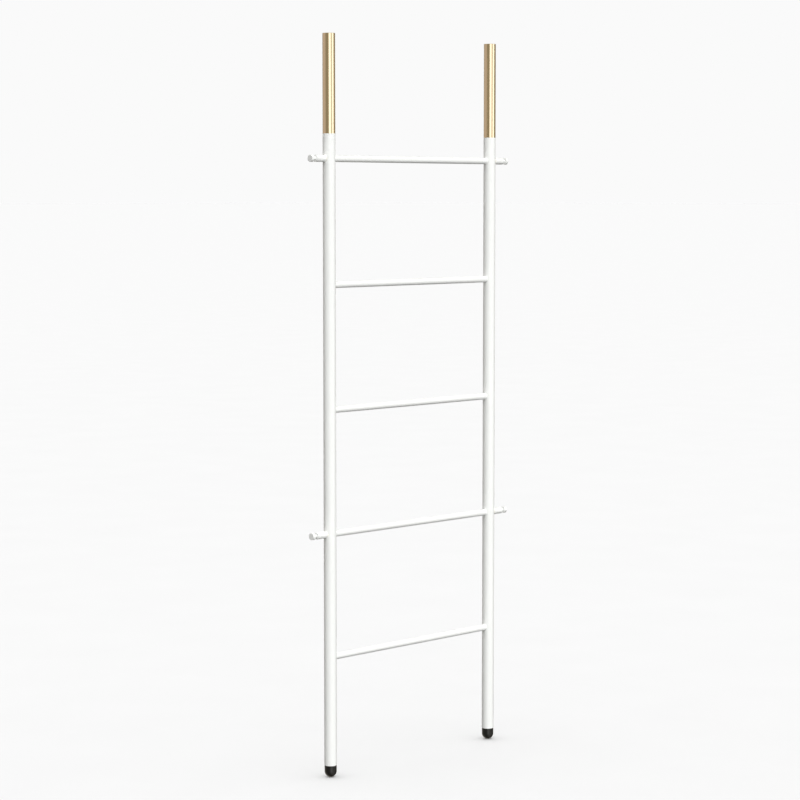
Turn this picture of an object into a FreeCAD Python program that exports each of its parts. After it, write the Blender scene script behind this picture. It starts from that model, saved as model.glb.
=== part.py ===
import FreeCAD, Part
import math
import os

import Sketcher
from FreeCAD import Placement, Rotation, Vector

# A towel ladder: two upright tubes with plated tips and rubber feet, five
# straight rungs and four turned pegs. Lengths are in millimetres.
# The origin is on the floor, midway between the rails; +X runs along the
# rungs to the right, +Y to the back and +Z up.

DRIVING_SIZES = {
    # whole frame; the rise is from the top rung's axis to the joint of rail and tip
    "rail_spacing": 573,
    "lowest_rung_height": 300,
    "rung_pitch": 305,
    "tip_joint_rise": 60,
    # tubes
    "rail_dia": 31,
    "rail_wall": 1.5,
    "rung_dia": 16.5,
    "rung_wall": 1.2,
    "tip_length": 240,
    "tip_edge_break": 0.5,
    # fits
    "fit_clearance": 0.1,
    "stud_clearance": 0.15,
    "cut_overrun": 2,
    # tip cap, and the threaded joint between tip and rail
    "cap_thickness": 3,
    "cap_edge_break": 0.4,
    "joint_plug_length": 22,
    "joint_stud_dia": 8,
    "joint_stud_length": 36,
    # threaded ends of the two tie rungs
    "insert_length": 24,
    "peg_stud_dia": 6,
    "peg_stud_insert_depth": 16,
    "peg_stud_peg_depth": 16,
    # pegs
    "peg_base_dia": 17,
    "peg_base_reach": 31.4,
    "peg_neck_dia": 6.5,
    "peg_neck_length": 8.6,
    "peg_head_dia": 17,
    "peg_head_length": 7.9,
    "peg_edge_break": 0.3,
    "peg_socket_depth": 19,
    "saddle_thickness": 1.5,
    "saddle_inset": 0.3,
    # feet
    "foot_dia": 30,
    "foot_height": 30,
    "foot_stem_length": 30,
    "foot_rib_width": 3,
    "foot_rib_depth": 0.8,
}
RUNG_COUNT = 5
FOOT_RIB_COUNT = 3
TIE_RUNGS = {"lower": 2, "upper": RUNG_COUNT}
SIDES = {"left": -1, "right": 1}

# Derived sizes, as expressions on the sheet
RAIL_BORE = "(dims.rail_dia - 2 * dims.rail_wall)"
RUNG_BORE = "(dims.rung_dia - 2 * dims.rung_wall)"
TOP_RUNG = f"(dims.lowest_rung_height + {RUNG_COUNT - 1} * dims.rung_pitch)"
TIP_JOINT = f"({TOP_RUNG} + dims.tip_joint_rise)"
RAIL_LENGTH = f"({TIP_JOINT} - dims.foot_height)"
PLUG_DIA = f"({RAIL_BORE} - 2 * dims.fit_clearance)"
INSERT_DIA = f"({RUNG_BORE} - 2 * dims.fit_clearance)"
RUNG_HOLE = "(dims.rung_dia + 2 * dims.fit_clearance)"
JOINT_STUD_HOLE = "(dims.joint_stud_dia + 2 * dims.stud_clearance)"
PEG_STUD_HOLE = "(dims.peg_stud_dia + 2 * dims.stud_clearance)"
# A flat rung end stops where its rim meets the bore of the far wall.
RUNG_END_DEPTH = f"(sqrt({RAIL_BORE}^2 - dims.rung_dia^2) / 2 - dims.fit_clearance)"
RUNG_LENGTH = f"(dims.rail_spacing + 2 * {RUNG_END_DEPTH})"
PEG_SEAT = "(dims.rail_dia / 2 + dims.saddle_thickness)"
ZERO = "0"

doc = FreeCAD.newDocument("towel_ladder")
sheet = doc.addObject("Spreadsheet::Sheet", "dims")
for row, (alias, size) in enumerate(DRIVING_SIZES.items(), start=1):
    sheet.set(f"A{row}", alias)
    sheet.set(f"B{row}", str(size))
    sheet.setAlias(f"B{row}", alias)
doc.recompute()
sub_parts = []


def value(expression):
    """Present value of an expression on the sheet, to start a sketch from."""
    return float(sheet.evalExpression(expression))


def origin_plane(body, role):
    return next(f for f in body.Origin.OriginFeatures if f.Role == role)


def new_body(label):
    body = doc.addObject("PartDesign::Body", label)
    body.Label = label
    sub_parts.append(body)
    return body


def new_sketch(body, name, role):
    sketch = body.newObject("Sketcher::SketchObject", f"{body.Name}_{name}")
    sketch.AttachmentSupport = [(origin_plane(body, role), "")]
    sketch.MapMode = "FlatFace"
    return sketch


def bind(sketch, name, expression, kind, *geometry):
    """Add a named dimension to a sketch and tie it to the sheet."""
    index = sketch.addConstraint(Sketcher.Constraint(kind, *geometry, value(expression)))
    sketch.renameConstraint(index, name)
    sketch.setExpression(f"Constraints.{name}", expression)


def add_circle(sketch, name, diameter, height=ZERO):
    """Circle on the sketch's vertical axis."""
    centre = Vector(0, value(height), 0)
    circle = sketch.addGeometry(Part.Circle(centre, Vector(0, 0, 1), value(diameter) / 2))
    if height == ZERO:
        sketch.addConstraint(Sketcher.Constraint("Coincident", circle, 3, -1, 1))
    else:
        sketch.addConstraint(Sketcher.Constraint("PointOnObject", circle, 3, -2))
        bind(sketch, f"{name}_height", height, "DistanceY", -1, 1, circle, 3)
    bind(sketch, f"{name}_dia", diameter, "Diameter", circle)


def extrude(body, kind, sketch, name, length, reverse=False):
    """Pad or pocket of a given length from a sketch."""
    feature = body.newObject(f"PartDesign::{kind}", f"{body.Name}_{name}")
    feature.Profile = sketch
    feature.Reversed = reverse
    feature.setExpression("Length", length)
    return feature


def place(piece, x=ZERO, z=ZERO, turn=Rotation()):
    """Put a sub-part in the frame: its turn, and its place on the sheet's sizes."""
    piece.Placement = Placement(Vector(), turn)
    for axis, expression in (("x", x), ("z", z)):
        if expression != ZERO:
            piece.setExpression(f"Placement.Base.{axis}", expression)


def outward(side):
    """Turn that points a piece's own Z axis away from the ladder on that side."""
    return Rotation(Vector(0, 1, 0), 90 * SIDES[side])


def rail_axis(side):
    return f"{SIDES[side]} * dims.rail_spacing / 2"


def rung_height(number):
    return f"dims.lowest_rung_height + {number - 1} * dims.rung_pitch"


def tube(label, outer, bore, length):
    """Tube along its own Z axis, from zero upward."""
    body = new_body(label)
    section = new_sketch(body, "section", "XY_Plane")
    add_circle(section, "outer", outer)
    add_circle(section, "bore", bore)
    extrude(body, "Pad", section, "pad", length)
    return body


def rod(label, diameter, length):
    """Plain round bar along its own Z axis, from zero upward."""
    body = new_body(label)
    section = new_sketch(body, "section", "XY_Plane")
    add_circle(section, "outer", diameter)
    extrude(body, "Pad", section, "pad", length)
    return body


def turned(label, outline, round_nose=False):
    """Piece turned about its own Z axis from a closed outline of radius and height.

    With a round nose the first side is a quarter circle from the axis, with its
    centre on the axis at the height of the second point.
    """
    body = new_body(label)
    sketch = new_sketch(body, "outline", "XZ_Plane")
    points = [Vector(value(radius), value(height), 0) for radius, height in outline]
    count = len(points)
    for i in range(count):
        if round_nose and i == 0:
            nose = Part.Circle(Vector(0, points[1].y, 0), Vector(0, 0, 1), points[1].x)
            sketch.addGeometry(Part.ArcOfCircle(nose, -math.pi / 2, 0))
            sketch.addConstraint(Sketcher.Constraint("PointOnObject", i, 3, -2))
        else:
            sketch.addGeometry(Part.LineSegment(points[i], points[(i + 1) % count]))
    for i in range(count):
        sketch.addConstraint(Sketcher.Constraint("Coincident", i, 2, (i + 1) % count, 1))
    for i, (radius, height) in enumerate(outline):
        if radius == ZERO:
            sketch.addConstraint(Sketcher.Constraint("PointOnObject", i, 1, -2))
        else:
            bind(sketch, f"radius_{i}", radius, "DistanceX", -1, 1, i, 1)
        if height == ZERO:
            sketch.addConstraint(Sketcher.Constraint("PointOnObject", i, 1, -1))
        elif round_nose and i == 1:
            sketch.addConstraint(Sketcher.Constraint("Horizontal", 0, 3, i, 1))
        else:
            bind(sketch, f"height_{i}", height, "DistanceY", -1, 1, i, 1)
    spin = body.newObject("PartDesign::Revolution", f"{body.Name}_turning")
    spin.Profile = sketch
    spin.ReferenceAxis = (sketch, ["V_Axis"])
    return body


def make_rail(side):
    """Upright tube: a socket in its inner wall for each rung, and a stud hole
    in its outer wall behind each tie rung. Its own zero is its lower end, and
    its own +Y side faces the rungs."""
    body = tube(f"{side}_rail", "dims.rail_dia", RAIL_BORE, RAIL_LENGTH)
    reach = "dims.rail_dia / 2 + dims.cut_overrun"
    socket = new_sketch(body, "socket", "XZ_Plane")
    add_circle(socket, "socket", RUNG_HOLE, f"{rung_height(1)} - dims.foot_height")
    pocket = extrude(body, "Pocket", socket, "socket_cut", reach)
    row = body.newObject("PartDesign::LinearPattern", f"{body.Name}_sockets")
    row.Originals = [pocket]
    row.Direction = (socket, ["V_Axis"])
    row.setExpression("Length", f"{RUNG_COUNT - 1} * dims.rung_pitch")
    row.Occurrences = RUNG_COUNT
    body.Tip = row
    holes = new_sketch(body, "stud_holes", "XZ_Plane")
    for level, number in TIE_RUNGS.items():
        add_circle(holes, level, PEG_STUD_HOLE, f"{rung_height(number)} - dims.foot_height")
    extrude(body, "Pocket", holes, "stud_cut", reach, reverse=True)
    facing_in = Rotation(Vector(0, 0, 1), 90 * SIDES[side])
    place(body, rail_axis(side), "dims.foot_height", facing_in)


def make_foot(side):
    """Moulded foot: round nose on the floor, ribbed stem pushed up the rail."""
    body_r = "dims.foot_dia / 2"
    rib_r = f"{PLUG_DIA} / 2"
    stem_r = f"({rib_r} - dims.foot_rib_depth)"
    outline = [(ZERO, ZERO), (body_r, body_r), (body_r, "dims.foot_height"), (stem_r, "dims.foot_height")]
    for k in range(1, FOOT_RIB_COUNT + 1):
        middle = f"dims.foot_height + dims.foot_stem_length * {k} / {FOOT_RIB_COUNT + 1}"
        low = f"{middle} - dims.foot_rib_width / 2"
        high = f"{middle} + dims.foot_rib_width / 2"
        outline += [(stem_r, low), (rib_r, middle), (stem_r, high)]
    stem_top = "dims.foot_height + dims.foot_stem_length"
    outline += [(stem_r, stem_top), (ZERO, stem_top)]
    place(turned(f"{side}_foot", outline, round_nose=True), rail_axis(side))


def make_tip(side):
    """Plated tip: tube, flush pressed cap, and the threaded joint to the rail."""
    x = rail_axis(side)
    bore_r = f"{RAIL_BORE} / 2"
    outer_r = "dims.rail_dia / 2"
    wall = [
        (bore_r, ZERO),
        (outer_r, ZERO),
        (outer_r, "dims.tip_length - dims.tip_edge_break"),
        (f"{outer_r} - dims.tip_edge_break", "dims.tip_length"),
        (bore_r, "dims.tip_length"),
    ]
    place(turned(f"{side}_tip", wall), x, TIP_JOINT)
    cap_r = f"{PLUG_DIA} / 2"
    cap = [
        (ZERO, ZERO),
        (cap_r, ZERO),
        (cap_r, "dims.cap_thickness - dims.cap_edge_break"),
        (f"{cap_r} - dims.cap_edge_break", "dims.cap_thickness"),
        (ZERO, "dims.cap_thickness"),
    ]
    place(turned(f"{side}_tip_cap", cap), x, f"{TIP_JOINT} + dims.tip_length - dims.cap_thickness")
    plug = (PLUG_DIA, JOINT_STUD_HOLE, "dims.joint_plug_length")
    place(tube(f"{side}_tip_plug", *plug), x, TIP_JOINT)
    place(tube(f"{side}_rail_plug", *plug), x, f"{TIP_JOINT} - dims.joint_plug_length")
    stud = rod(f"{side}_tip_stud", "dims.joint_stud_dia", "dims.joint_stud_length")
    place(stud, x, f"{TIP_JOINT} - dims.joint_stud_length / 2")


def make_rung(number):
    along = Rotation(Vector(0, 1, 0), 90)
    body = tube(f"rung_{number}", "dims.rung_dia", RUNG_BORE, RUNG_LENGTH)
    place(body, f"-{RUNG_LENGTH} / 2", rung_height(number), along)


def make_insert(side, number):
    """Threaded plug pressed into the end of a tie rung, flush with it."""
    body = tube(f"rung_{number}_{side}_insert", INSERT_DIA, PEG_STUD_HOLE, "dims.insert_length")
    inner_end = f"{SIDES[side]} * ({RUNG_LENGTH} / 2 - dims.insert_length)"
    place(body, inner_end, rung_height(number), outward(side))


def make_saddle(side, level, height):
    """Washer between the round rail and the flat base of a peg, hollowed to the rail.
    Its own zero is the rail's axis."""
    name = f"{side}_{level}_saddle_washer"
    form_radius = "dims.rail_dia / 2 + dims.fit_clearance"
    blank = doc.addObject("Part::Cylinder", f"{name}_blank")
    blank.setExpression("Radius", "dims.peg_base_dia / 2 - dims.saddle_inset")
    blank.setExpression("Height", PEG_SEAT)
    form = doc.addObject("Part::Cylinder", f"{name}_form")
    form.setExpression("Radius", form_radius)
    form.setExpression("Height", "2 * dims.rail_dia")
    form.Placement = Placement(Vector(), Rotation(Vector(1, 0, 0), -90))
    form.setExpression("Placement.Base.y", "-dims.rail_dia")
    bore = doc.addObject("Part::Cylinder", f"{name}_bore")
    bore.setExpression("Radius", f"{PEG_STUD_HOLE} / 2")
    bore.setExpression("Height", f"{PEG_SEAT} + dims.cut_overrun")
    hollowed = doc.addObject("Part::Cut", f"{name}_hollowed")
    hollowed.Base = blank
    hollowed.Tool = form
    washer = doc.addObject("Part::Cut", name)
    washer.Label = name
    washer.Base = hollowed
    washer.Tool = bore
    # The rail runs along the washer's own Y, so it is turned upright first.
    upright = Rotation(Vector(0, 0, 1), 90)
    place(washer, rail_axis(side), height, outward(side).multiply(upright))
    sub_parts.append(washer)


def make_peg(side, level):
    """Turned peg: base, neck for a loop and head, with a threaded socket, its
    stud and its saddle washer. The stud draws the rail against the tie rung."""
    sign = SIDES[side]
    height = rung_height(TIE_RUNGS[level])
    base_r = "dims.peg_base_dia / 2"
    neck_r = "dims.peg_neck_dia / 2"
    head_r = "dims.peg_head_dia / 2"
    socket_r = f"{PEG_STUD_HOLE} / 2"
    edge = "dims.peg_edge_break"
    shoulder = "(dims.peg_base_reach - dims.saddle_thickness)"
    head = f"({shoulder} + dims.peg_neck_length)"
    end = f"({head} + dims.peg_head_length)"
    outline = [
        (socket_r, ZERO),
        (base_r, ZERO),
        (base_r, f"{shoulder} - {edge}"),
        (f"{base_r} - {edge}", shoulder),
        (neck_r, shoulder),
        (neck_r, head),
        (f"{head_r} - {edge}", head),
        (head_r, f"{head} + {edge}"),
        (head_r, f"{end} - {edge}"),
        (f"{head_r} - {edge}", end),
        (ZERO, end),
        (ZERO, "dims.peg_socket_depth"),
        (socket_r, "dims.peg_socket_depth"),
    ]
    seat = f"{sign} * (dims.rail_spacing / 2 + {PEG_SEAT})"
    place(turned(f"{side}_{level}_peg", outline), seat, height, outward(side))
    make_saddle(side, level, height)
    stud_start = f"({RUNG_LENGTH} / 2 - dims.peg_stud_insert_depth)"
    stud_end = f"(dims.rail_spacing / 2 + {PEG_SEAT} + dims.peg_stud_peg_depth)"
    stud = rod(f"{side}_{level}_peg_stud", "dims.peg_stud_dia", f"{stud_end} - {stud_start}")
    place(stud, f"{sign} * {stud_start}", height, outward(side))


for side in SIDES:
    make_rail(side)
    make_foot(side)
    make_tip(side)
    for number in TIE_RUNGS.values():
        make_insert(side, number)
    for level in TIE_RUNGS:
        make_peg(side, level)
for number in range(1, RUNG_COUNT + 1):
    make_rung(number)
doc.recompute()

for item in doc.Objects:
    if {"Invalid", "Error"} & set(item.State):
        raise RuntimeError(f"{item.Label} did not build: {item.State}")
for piece in sub_parts:
    if piece.Shape.isNull() or not piece.Shape.isValid() or len(piece.Shape.Solids) != 1:
        raise RuntimeError(f"{piece.Label} is not one valid solid")

os.makedirs("parts", exist_ok=True)
for piece in sub_parts:
    piece.Shape.exportStep(f"parts/{piece.Label}.step")
    box = piece.Shape.BoundBox
    print(f"{piece.Label}: {piece.Shape.Volume:.1f} mm3, z {box.ZMin:.2f} to {box.ZMax:.2f}")
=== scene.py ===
import math

import bpy
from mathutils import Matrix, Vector

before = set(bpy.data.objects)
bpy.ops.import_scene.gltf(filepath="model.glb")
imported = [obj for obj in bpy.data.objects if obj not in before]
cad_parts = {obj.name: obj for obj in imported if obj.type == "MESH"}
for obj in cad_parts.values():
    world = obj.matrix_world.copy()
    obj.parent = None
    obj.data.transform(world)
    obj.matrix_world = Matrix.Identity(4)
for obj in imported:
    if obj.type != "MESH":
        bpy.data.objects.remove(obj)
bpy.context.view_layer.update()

MM = 0.001

# Where the photograph was taken from. The azimuth is 0 straight in front of the rungs and
# grows towards the right rail, and the aim is a little off the middle of the ladder.
VIEW_AZIMUTH_DEGREES = -45.31
VIEW_ELEVATION_DEGREES = 4.99
VIEW_DISTANCE = 5.8775
VIEW_AIM = Vector((-0.02124, 0.02147, 0.91684))
LENS_MM = 104.767
SENSOR_MM = 36.0

# The studio. Its upright softboxes stand in a ring round the ladder.
FLOOR_WIDTH = 800.0
LAMP_RING_RADIUS = 7.0
LAMP_HIGH_EDGE = 3.1
# The room's own light, from straight below (0) over the horizon (0.5) to straight above (1):
# dark low down, with a pale band at the horizon and a pale ceiling.
ROOM_GLOW = [
    (0.0, "1C1C1C"), (0.42, "1C1C1C"), (0.43, "9A9F99"), (0.57, "9A9F99"),
    (0.58, "272727"), (0.79, "272727"), (0.81, "959595"), (1.0, "959595"),
]
# What a glossy finish mirrors of it: a pale floor, a warm wall and a pale ceiling. The floor
# is dimmer straight below and dark at its edge, so that the feet stay dark. Round the
# ladder it goes from pale to dark, so that the tips have upright stripes from above too.
MIRRORED_ROOM = [
    (0.0, "988D79"), (0.05, "988D79"), (0.07, "E0D9CA"), (0.37, "E0D9CA"), (0.38, "262626"),
    (0.39, "262626"), (0.4, "9D9581"), (0.79, "9D9581"), (0.81, "C4BCA8"), (1.0, "C4BCA8"),
]
MIRRORED_FLOOR_EDGE = 0.37
DARK_STRETCHES = 2
DARK_STRETCH_LEVEL = 0.25
BACKDROP = "FAFAFA"


def linear(hex_colour):
    """An sRGB colour such as "F3F1EA" as linear red, green, blue and alpha."""
    channels = []
    for start in (0, 2, 4):
        value = int(hex_colour[start:start + 2], 16) / 255
        if value <= 0.04045:
            channels.append(value / 12.92)
        else:
            channels.append(((value + 0.055) / 1.055) ** 2.4)
    return (*channels, 1.0)


def add_node(tree, kind, inputs=None, **settings):
    """Adds a node, sets it up, and links or sets each of the inputs that are named."""
    node = tree.nodes.new(kind)
    for name, value in settings.items():
        setattr(node, name, value)
    for name, value in (inputs or {}).items():
        if isinstance(value, bpy.types.NodeSocket):
            tree.links.new(value, node.inputs[name])
        else:
            node.inputs[name].default_value = value
    return node


def new_finish(name):
    """An empty material, its node tree and the place on the piece that patterns read."""
    finish = bpy.data.materials.new(name)
    finish.use_nodes = True
    tree = finish.node_tree
    tree.nodes.clear()
    place = add_node(tree, "ShaderNodeTexCoord").outputs["Object"]
    return finish, tree, place


def powder_coated_steel():
    # Steel tube sprayed with white polyester powder and baked. The eye sees a soft satin
    # white, a touch warm in the shade, with the faint ripple that the melted powder leaves.
    finish, tree, place = new_finish("powder_coated_steel_white")
    # The ripple is 1.5 mm from crest to crest; it is drawn at 4 mm, or no pixel shows it.
    ripple = add_node(tree, "ShaderNodeTexNoise", {
        "Vector": place, "Scale": 1 / (4 * MM), "Detail": 2.0, "Roughness": 0.45,
    })
    # Clouds of a thicker and a thinner film, about a hand's width across.
    film = add_node(tree, "ShaderNodeTexNoise", {
        "Vector": place, "Scale": 1 / (80 * MM), "Detail": 1.0,
    })
    colour = add_node(tree, "ShaderNodeMix", {
        "Factor": film.outputs["Fac"], "A": linear("F3F4F2"), "B": linear("EFF0EE"),
    }, data_type="RGBA")
    satin = add_node(tree, "ShaderNodeMapRange", {
        "Value": ripple.outputs["Fac"], "To Min": 0.28, "To Max": 0.36,
    })
    relief = add_node(tree, "ShaderNodeBump", {
        "Height": ripple.outputs["Fac"], "Strength": 0.2, "Distance": 0.05 * MM,
    })
    shader = add_node(tree, "ShaderNodeBsdfPrincipled", {
        "Base Color": colour.outputs["Result"],
        "Roughness": satin.outputs["Result"],
        "Normal": relief.outputs["Normal"],
        "IOR": 1.5,
    })
    add_node(tree, "ShaderNodeOutputMaterial", {"Surface": shader.outputs["BSDF"]})
    return finish


def polished_brass_plate():
    # Steel tube plated with pale brass, buffed on a turning lathe and lacquered against
    # tarnish. The eye sees hard upright stripes, which are the lamps and the dark room, a
    # little softened by the fine lines that run round the tube, with a paler gleam on top.
    finish, tree, place = new_finish("polished_brass_plate_pale")
    # The lines of the buff are 0.05 mm apart; they are drawn at 0.8 mm, or they vanish.
    lathe = add_node(tree, "ShaderNodeMapping", {
        "Vector": place, "Scale": (1 / (30 * MM), 1 / (30 * MM), 1 / (0.8 * MM)),
    })
    buffing = add_node(tree, "ShaderNodeTexNoise", {
        "Vector": lathe.outputs["Vector"], "Scale": 1.0, "Detail": 3.0, "Roughness": 0.6,
    })
    # The lacquer is a shade warmer in patches about 70 mm long.
    lacquer = add_node(tree, "ShaderNodeTexNoise", {
        "Vector": place, "Scale": 1 / (70 * MM), "Detail": 1.0,
    })
    colour = add_node(tree, "ShaderNodeMix", {
        "Factor": lacquer.outputs["Fac"], "A": linear("E7D6B9"), "B": linear("E4D2B2"),
    }, data_type="RGBA")
    gloss = add_node(tree, "ShaderNodeMapRange", {
        "Value": buffing.outputs["Fac"], "To Min": 0.13, "To Max": 0.15,
    })
    relief = add_node(tree, "ShaderNodeBump", {
        "Height": buffing.outputs["Fac"], "Strength": 0.02, "Distance": 0.01 * MM,
    })
    shader = add_node(tree, "ShaderNodeBsdfPrincipled", {
        "Base Color": colour.outputs["Result"],
        "Roughness": gloss.outputs["Result"],
        "Normal": relief.outputs["Normal"],
        "Metallic": 1.0,
        "Coat Weight": 1.0,
        "Coat Roughness": 0.08,
    })
    add_node(tree, "ShaderNodeOutputMaterial", {"Surface": shader.outputs["BSDF"]})
    return finish


def moulded_black_rubber():
    # Rubber pressed hot in a lightly blasted steel mould. The eye sees a dense black with
    # a dull grey bloom, and one soft highlight down the side that faces the light.
    finish, tree, place = new_finish("moulded_rubber_black")
    # The grain of the blasted mould, 0.3 mm, drawn at 0.9 mm to show from near by.
    grain = add_node(tree, "ShaderNodeTexNoise", {
        "Vector": place, "Scale": 1 / (0.9 * MM), "Detail": 3.0, "Roughness": 0.6,
    })
    # The bloom lies in patches about 12 mm across.
    bloom = add_node(tree, "ShaderNodeTexNoise", {
        "Vector": place, "Scale": 1 / (12 * MM), "Detail": 2.0,
    })
    colour = add_node(tree, "ShaderNodeMix", {
        "Factor": bloom.outputs["Fac"], "A": linear("0C0D0E"), "B": linear("121314"),
    }, data_type="RGBA")
    dullness = add_node(tree, "ShaderNodeMapRange", {
        "Value": grain.outputs["Fac"], "To Min": 0.25, "To Max": 0.33,
    })
    relief = add_node(tree, "ShaderNodeBump", {
        "Height": grain.outputs["Fac"], "Strength": 0.3, "Distance": 0.08 * MM,
    })
    shader = add_node(tree, "ShaderNodeBsdfPrincipled", {
        "Base Color": colour.outputs["Result"],
        "Roughness": dullness.outputs["Result"],
        "Normal": relief.outputs["Normal"],
        "IOR": 1.52,
    })
    add_node(tree, "ShaderNodeOutputMaterial", {"Surface": shader.outputs["BSDF"]})
    return finish


def moulded_white_nylon():
    # Nylon shot into a smooth mould. The eye sees a milky white, waxier than the coat.
    finish, tree, place = new_finish("moulded_nylon_white")
    # The flow in the mould leaves clouds about 5 mm across.
    flow = add_node(tree, "ShaderNodeTexNoise", {
        "Vector": place, "Scale": 1 / (5 * MM), "Detail": 2.0,
    })
    colour = add_node(tree, "ShaderNodeMix", {
        "Factor": flow.outputs["Fac"], "A": linear("F1EFE6"), "B": linear("E9E7DC"),
    }, data_type="RGBA")
    wax = add_node(tree, "ShaderNodeMapRange", {
        "Value": flow.outputs["Fac"], "To Min": 0.42, "To Max": 0.52,
    })
    relief = add_node(tree, "ShaderNodeBump", {
        "Height": flow.outputs["Fac"], "Strength": 0.15, "Distance": 0.05 * MM,
    })
    shader = add_node(tree, "ShaderNodeBsdfPrincipled", {
        "Base Color": colour.outputs["Result"],
        "Roughness": wax.outputs["Result"],
        "Normal": relief.outputs["Normal"],
        "IOR": 1.53,
    })
    add_node(tree, "ShaderNodeOutputMaterial", {"Surface": shader.outputs["BSDF"]})
    return finish


def zinc_plated_steel():
    # Turned steel with bright zinc plate. The eye sees a cool grey metal with a faint
    # yellow and blue cloud from the passivating bath, and the grain that turning leaves.
    finish, tree, place = new_finish("zinc_plated_steel_bright")
    # The cloud is about 9 mm across.
    bath = add_node(tree, "ShaderNodeTexNoise", {
        "Vector": place, "Scale": 1 / (9 * MM), "Detail": 2.0,
    })
    colour = add_node(tree, "ShaderNodeMix", {
        "Factor": bath.outputs["Fac"], "A": linear("C4C6C2"), "B": linear("B9C0C9"),
    }, data_type="RGBA")
    # The grain is 0.1 mm; it is drawn at 0.5 mm, or it vanishes.
    turning = add_node(tree, "ShaderNodeTexNoise", {
        "Vector": place, "Scale": 1 / (0.5 * MM), "Detail": 2.0,
    })
    shine = add_node(tree, "ShaderNodeMapRange", {
        "Value": turning.outputs["Fac"], "To Min": 0.26, "To Max": 0.4,
    })
    relief = add_node(tree, "ShaderNodeBump", {
        "Height": turning.outputs["Fac"], "Strength": 0.2, "Distance": 0.02 * MM,
    })
    shader = add_node(tree, "ShaderNodeBsdfPrincipled", {
        "Base Color": colour.outputs["Result"],
        "Roughness": shine.outputs["Result"],
        "Normal": relief.outputs["Normal"],
        "Metallic": 1.0,
    })
    add_node(tree, "ShaderNodeOutputMaterial", {"Surface": shader.outputs["BSDF"]})
    return finish


def studio_floor():
    """A wide pale floor, which sends light to the camera alone, so that none comes from below."""
    bpy.ops.mesh.primitive_plane_add(size=FLOOR_WIDTH)
    floor = bpy.context.object
    floor.name = "studio_floor"
    paint, tree, place = new_finish("floor_paint_pale")
    # The roller leaves the paint a shade thicker in patches about 300 mm across.
    mottle = add_node(tree, "ShaderNodeTexNoise", {"Vector": place, "Scale": 1 / (300 * MM)})
    colour = add_node(tree, "ShaderNodeMix", {
        "Factor": mottle.outputs["Fac"], "A": linear("E9E9E9"), "B": linear("E6E6E6"),
    }, data_type="RGBA")
    shader = add_node(tree, "ShaderNodeBsdfDiffuse", {"Color": colour.outputs["Result"]})
    add_node(tree, "ShaderNodeOutputMaterial", {"Surface": shader.outputs["BSDF"]})
    floor.data.materials.append(paint)
    floor.visible_diffuse = False
    floor.visible_glossy = False
    floor.visible_shadow = False
    # The floor has a lamp to itself and the ladder has the others, so that the floor stays
    # even and the ladder can be lit from low down behind.
    for name, link_state in (("floor_alone", "INCLUDE"), ("all_but_floor", "EXCLUDE")):
        lit = bpy.data.collections.new(name)
        lit.objects.link(floor)
        lit.collection_objects[0].light_linking.link_state = link_state


def round_from_camera(turn, climb):
    """The way from the ladder to a lamp or the camera: a turn to the right from the camera's
    side, and a climb from the horizon, both in degrees."""
    angle = math.radians(VIEW_AZIMUTH_DEGREES) + math.radians(turn)
    rise = math.radians(climb)
    return Vector((
        math.sin(angle) * math.cos(rise),
        -math.cos(angle) * math.cos(rise),
        math.sin(rise),
    ))


def hang_lamp(name, lamp, way, place, lights):
    """Puts a lamp in the studio, facing back along the given way and hidden from the camera.
    It lights what the named collection says."""
    hung = bpy.data.objects.new(name, lamp)
    bpy.context.scene.collection.objects.link(hung)
    hung.location = place
    hung.rotation_euler = (-way).to_track_quat("-Z", "Y").to_euler()
    hung.visible_camera = False
    hung.light_linking.receiver_collection = bpy.data.collections[lights]
    return hung


def upright_softbox(name, turn, spread, low_edge, radiance, colour="FFFFFF"):
    """A tall flat lamp on the ring, which the tips mirror as an upright stripe. One that
    reaches below the floor, where nothing stops its light, shows in the feet as well."""
    way = round_from_camera(turn, 0)
    lamp = bpy.data.lights.new(name, "AREA")
    lamp.shape = "RECTANGLE"
    lamp.size = 2 * LAMP_RING_RADIUS * math.tan(math.radians(spread / 2))
    lamp.size_y = LAMP_HIGH_EDGE - low_edge
    lamp.energy = radiance * math.pi * lamp.size * lamp.size_y
    lamp.color = linear(colour)[:3]
    middle = Vector((0, 0, (low_edge + LAMP_HIGH_EDGE) / 2))
    hang_lamp(name, lamp, way, way * LAMP_RING_RADIUS + middle, "all_but_floor")


def far_light(name, turn, climb, spread, strength, lights="all_but_floor", shadow=True):
    """Broad light from far off, even from the feet to the tips. No finish mirrors it, so
    that the flat caps stay gold. The floor's own one casts no shadow, because the room's
    light already gives the feet a soft one."""
    way = round_from_camera(turn, climb)
    lamp = bpy.data.lights.new(name, "SUN")
    lamp.energy = strength
    lamp.angle = math.radians(spread)
    lamp.use_shadow = shadow
    hung = hang_lamp(name, lamp, way, way * LAMP_RING_RADIUS, lights)
    hung.visible_glossy = False


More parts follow.
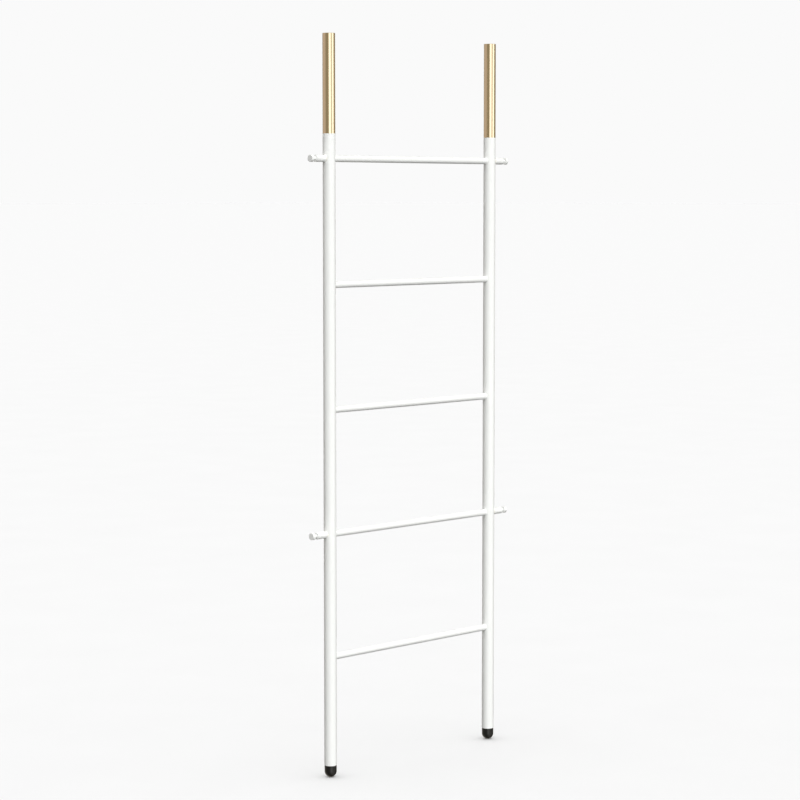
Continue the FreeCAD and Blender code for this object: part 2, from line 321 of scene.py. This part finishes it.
def studio_room():
    """The room's own light, what glossy finishes mirror of it, and the backdrop behind the
    ladder, which has the tone of the lit floor."""
    world = bpy.data.worlds.new("studio_room")
    bpy.context.scene.world = world
    world.use_nodes = True
    tree = world.node_tree
    tree.nodes.clear()
    way = add_node(tree, "ShaderNodeTexCoord").outputs["Generated"]
    climb = add_node(tree, "ShaderNodeSeparateXYZ", {"Vector": way}).outputs["Z"]
    share = add_node(tree, "ShaderNodeMapRange", {"Value": climb, "From Min": -1.0})
    glows = []
    for bands in (ROOM_GLOW, MIRRORED_ROOM):
        glow = add_node(tree, "ShaderNodeValToRGB", {"Fac": share.outputs["Result"]})
        steps = glow.color_ramp.elements
        steps[0].position, steps[1].position = bands[0][0], bands[-1][0]
        for place, _ in bands[1:-1]:
            steps.new(place)
        for step, (_, colour) in zip(steps, bands):
            step.color = linear(colour)
        glows.append(glow.outputs["Color"])
    turn = add_node(tree, "ShaderNodeTexGradient", {"Vector": way}, gradient_type="RADIAL")
    half_way = 0.5 / DARK_STRETCHES
    to_and_fro = add_node(tree, "ShaderNodeMath", {
        0: turn.outputs["Fac"], 1: half_way,
    }, operation="PINGPONG")
    level = add_node(tree, "ShaderNodeMapRange", {
        "Value": to_and_fro.outputs["Value"],
        "From Max": half_way,
        "To Min": DARK_STRETCH_LEVEL,
    }, interpolation_type="SMOOTHERSTEP")
    on_floor = add_node(tree, "ShaderNodeMath", {
        0: share.outputs["Result"], 1: MIRRORED_FLOOR_EDGE,
    }, operation="LESS_THAN")
    mirrored = add_node(tree, "ShaderNodeMix", {
        "Factor": on_floor.outputs["Value"], "A": glows[1], "B": level.outputs["Result"],
    }, data_type="RGBA", blend_type="MULTIPLY")
    path = add_node(tree, "ShaderNodeLightPath")
    glow = add_node(tree, "ShaderNodeMix", {
        "Factor": path.outputs["Is Glossy Ray"], "A": glows[0], "B": mirrored.outputs["Result"],
    }, data_type="RGBA")
    room = add_node(tree, "ShaderNodeBackground", {"Color": glow.outputs["Result"]})
    backdrop = add_node(tree, "ShaderNodeBackground", {"Color": linear(BACKDROP)})
    mix = add_node(tree, "ShaderNodeMixShader", {
        0: path.outputs["Is Camera Ray"],
        1: room.outputs["Background"],
        2: backdrop.outputs["Background"],
    })
    add_node(tree, "ShaderNodeOutputWorld", {"Surface": mix.outputs["Shader"]})


def photo_camera():
    """The camera at the place and with the lens that the photograph gives."""
    lens = bpy.data.cameras.new("photo_camera")
    lens.sensor_width = SENSOR_MM
    lens.lens = LENS_MM
    camera = bpy.data.objects.new("photo_camera", lens)
    bpy.context.scene.collection.objects.link(camera)
    back = round_from_camera(0, VIEW_ELEVATION_DEGREES)
    camera.location = VIEW_AIM + back * VIEW_DISTANCE
    camera.rotation_euler = (-back).to_track_quat("-Z", "Y").to_euler()
    bpy.context.scene.camera = camera


finishes = {
    "white_coated_steel": powder_coated_steel(),
    "brass_plated_steel": polished_brass_plate(),
    "black_rubber": moulded_black_rubber(),
    "white_nylon": moulded_white_nylon(),
    "zinc_plated_steel": zinc_plated_steel(),
}
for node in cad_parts.values():
    for slot in node.material_slots:
        slot.material = finishes[slot.material.name]

bpy.ops.object.select_all(action="DESELECT")
studio_floor()
studio_room()
far_light("key_light", turn=24, climb=29, spread=44, strength=1.8)
far_light("high_light", turn=21, climb=50, spread=52, strength=1.0)
far_light("left_light", turn=-80, climb=60, spread=40, strength=0.97)
far_light("back_light", turn=-150, climb=5, spread=40, strength=0.9)
far_light("rear_light", turn=180, climb=5, spread=40, strength=1.0)
far_light(
    "floor_light", turn=0, climb=90, spread=150, strength=3.1,
    lights="floor_alone", shadow=False,
)
upright_softbox("front_softbox", turn=16, spread=36, low_edge=-2.2, radiance=1.4)
upright_softbox("between_softbox", turn=47, spread=26, low_edge=-1.0, radiance=0.46)
upright_softbox("side_softbox", turn=76, spread=32, low_edge=-1.0, radiance=1.4)
upright_softbox(
    "left_softbox", turn=-98, spread=76, low_edge=0.0, radiance=0.245, colour="FFE8EE",
)
upright_softbox("rear_softbox", turn=180, spread=26, low_edge=0.8, radiance=1.4)
photo_camera()
# Tones are shown as they are, with no film curve, so that white stays white.
bpy.context.scene.view_settings.view_transform = "Standard"
